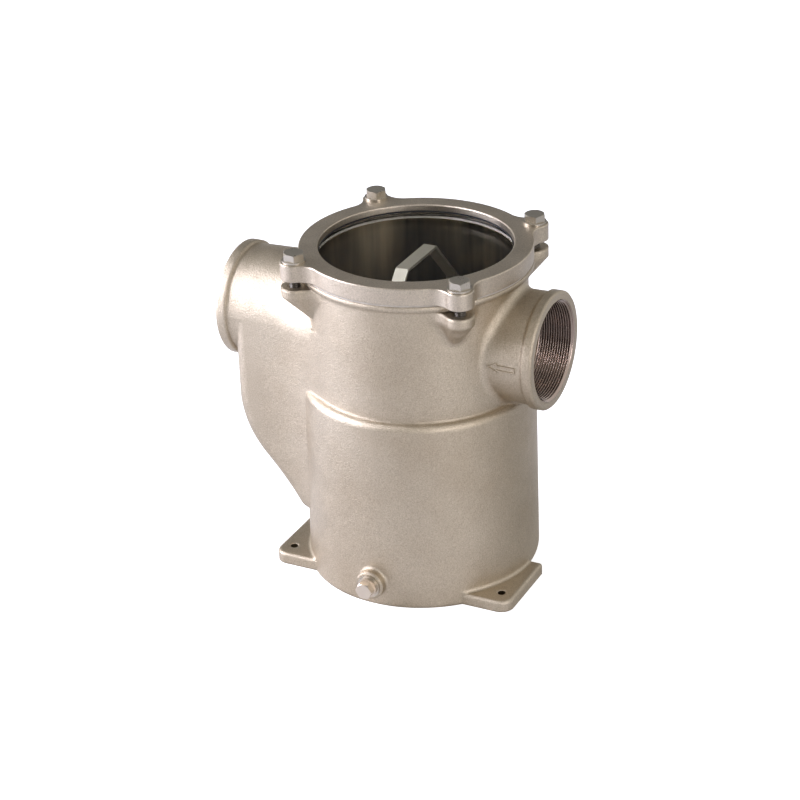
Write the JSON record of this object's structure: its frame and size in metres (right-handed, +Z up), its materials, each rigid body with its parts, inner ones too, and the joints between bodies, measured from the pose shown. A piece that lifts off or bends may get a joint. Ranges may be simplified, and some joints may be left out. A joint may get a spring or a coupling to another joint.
{
  "type": "sea water strainer",
  "caption": "Cast raw-water strainer: round body with two threaded side ports, flared outlet duct, basket inside, bolted ring cover with clear window, drain plug and foot plate.",
  "frame": {"origin": "on the floor under the axis of the body, at the middle of the round base", "axes": "+Z up the body's axis, +X out of the inlet port, -X out of the outlet port, -Y out of the drain plug at the front"},
  "size_m": [0.3055, 0.2288, 0.3144],
  "materials": {
    "cast_bronze": "blasted and nickel plated, satin",
    "cover_bronze": "nickel plated, turned top",
    "stainless": "satin",
    "clear_window": "clear",
    "seal_rubber": "matt",
    "pale_seal": "matt, food grade silicone"
  },
  "bodies": {
    "root": {"body_casting": "cast_bronze", "cover_ring": "cover_bronze", "window": "clear_window", "window_gasket": "pale_seal", "cap_gasket": "seal_rubber", "basket_shell": "stainless", "basket_bottom": "stainless", "basket_rim": "stainless", "basket_gasket": "seal_rubber", "basket_handle": "stainless", "drain_plug": "cover_bronze", "drain_washer": "stainless", "cover_bolt_1": "stainless", "cover_washer_1": "stainless", "cover_bolt_2": "stainless", "cover_washer_2": "stainless", "cover_bolt_3": "stainless", "cover_washer_3": "stainless", "cover_bolt_4": "stainless", "cover_washer_4": "stainless"}
  },
  "joints": []
}
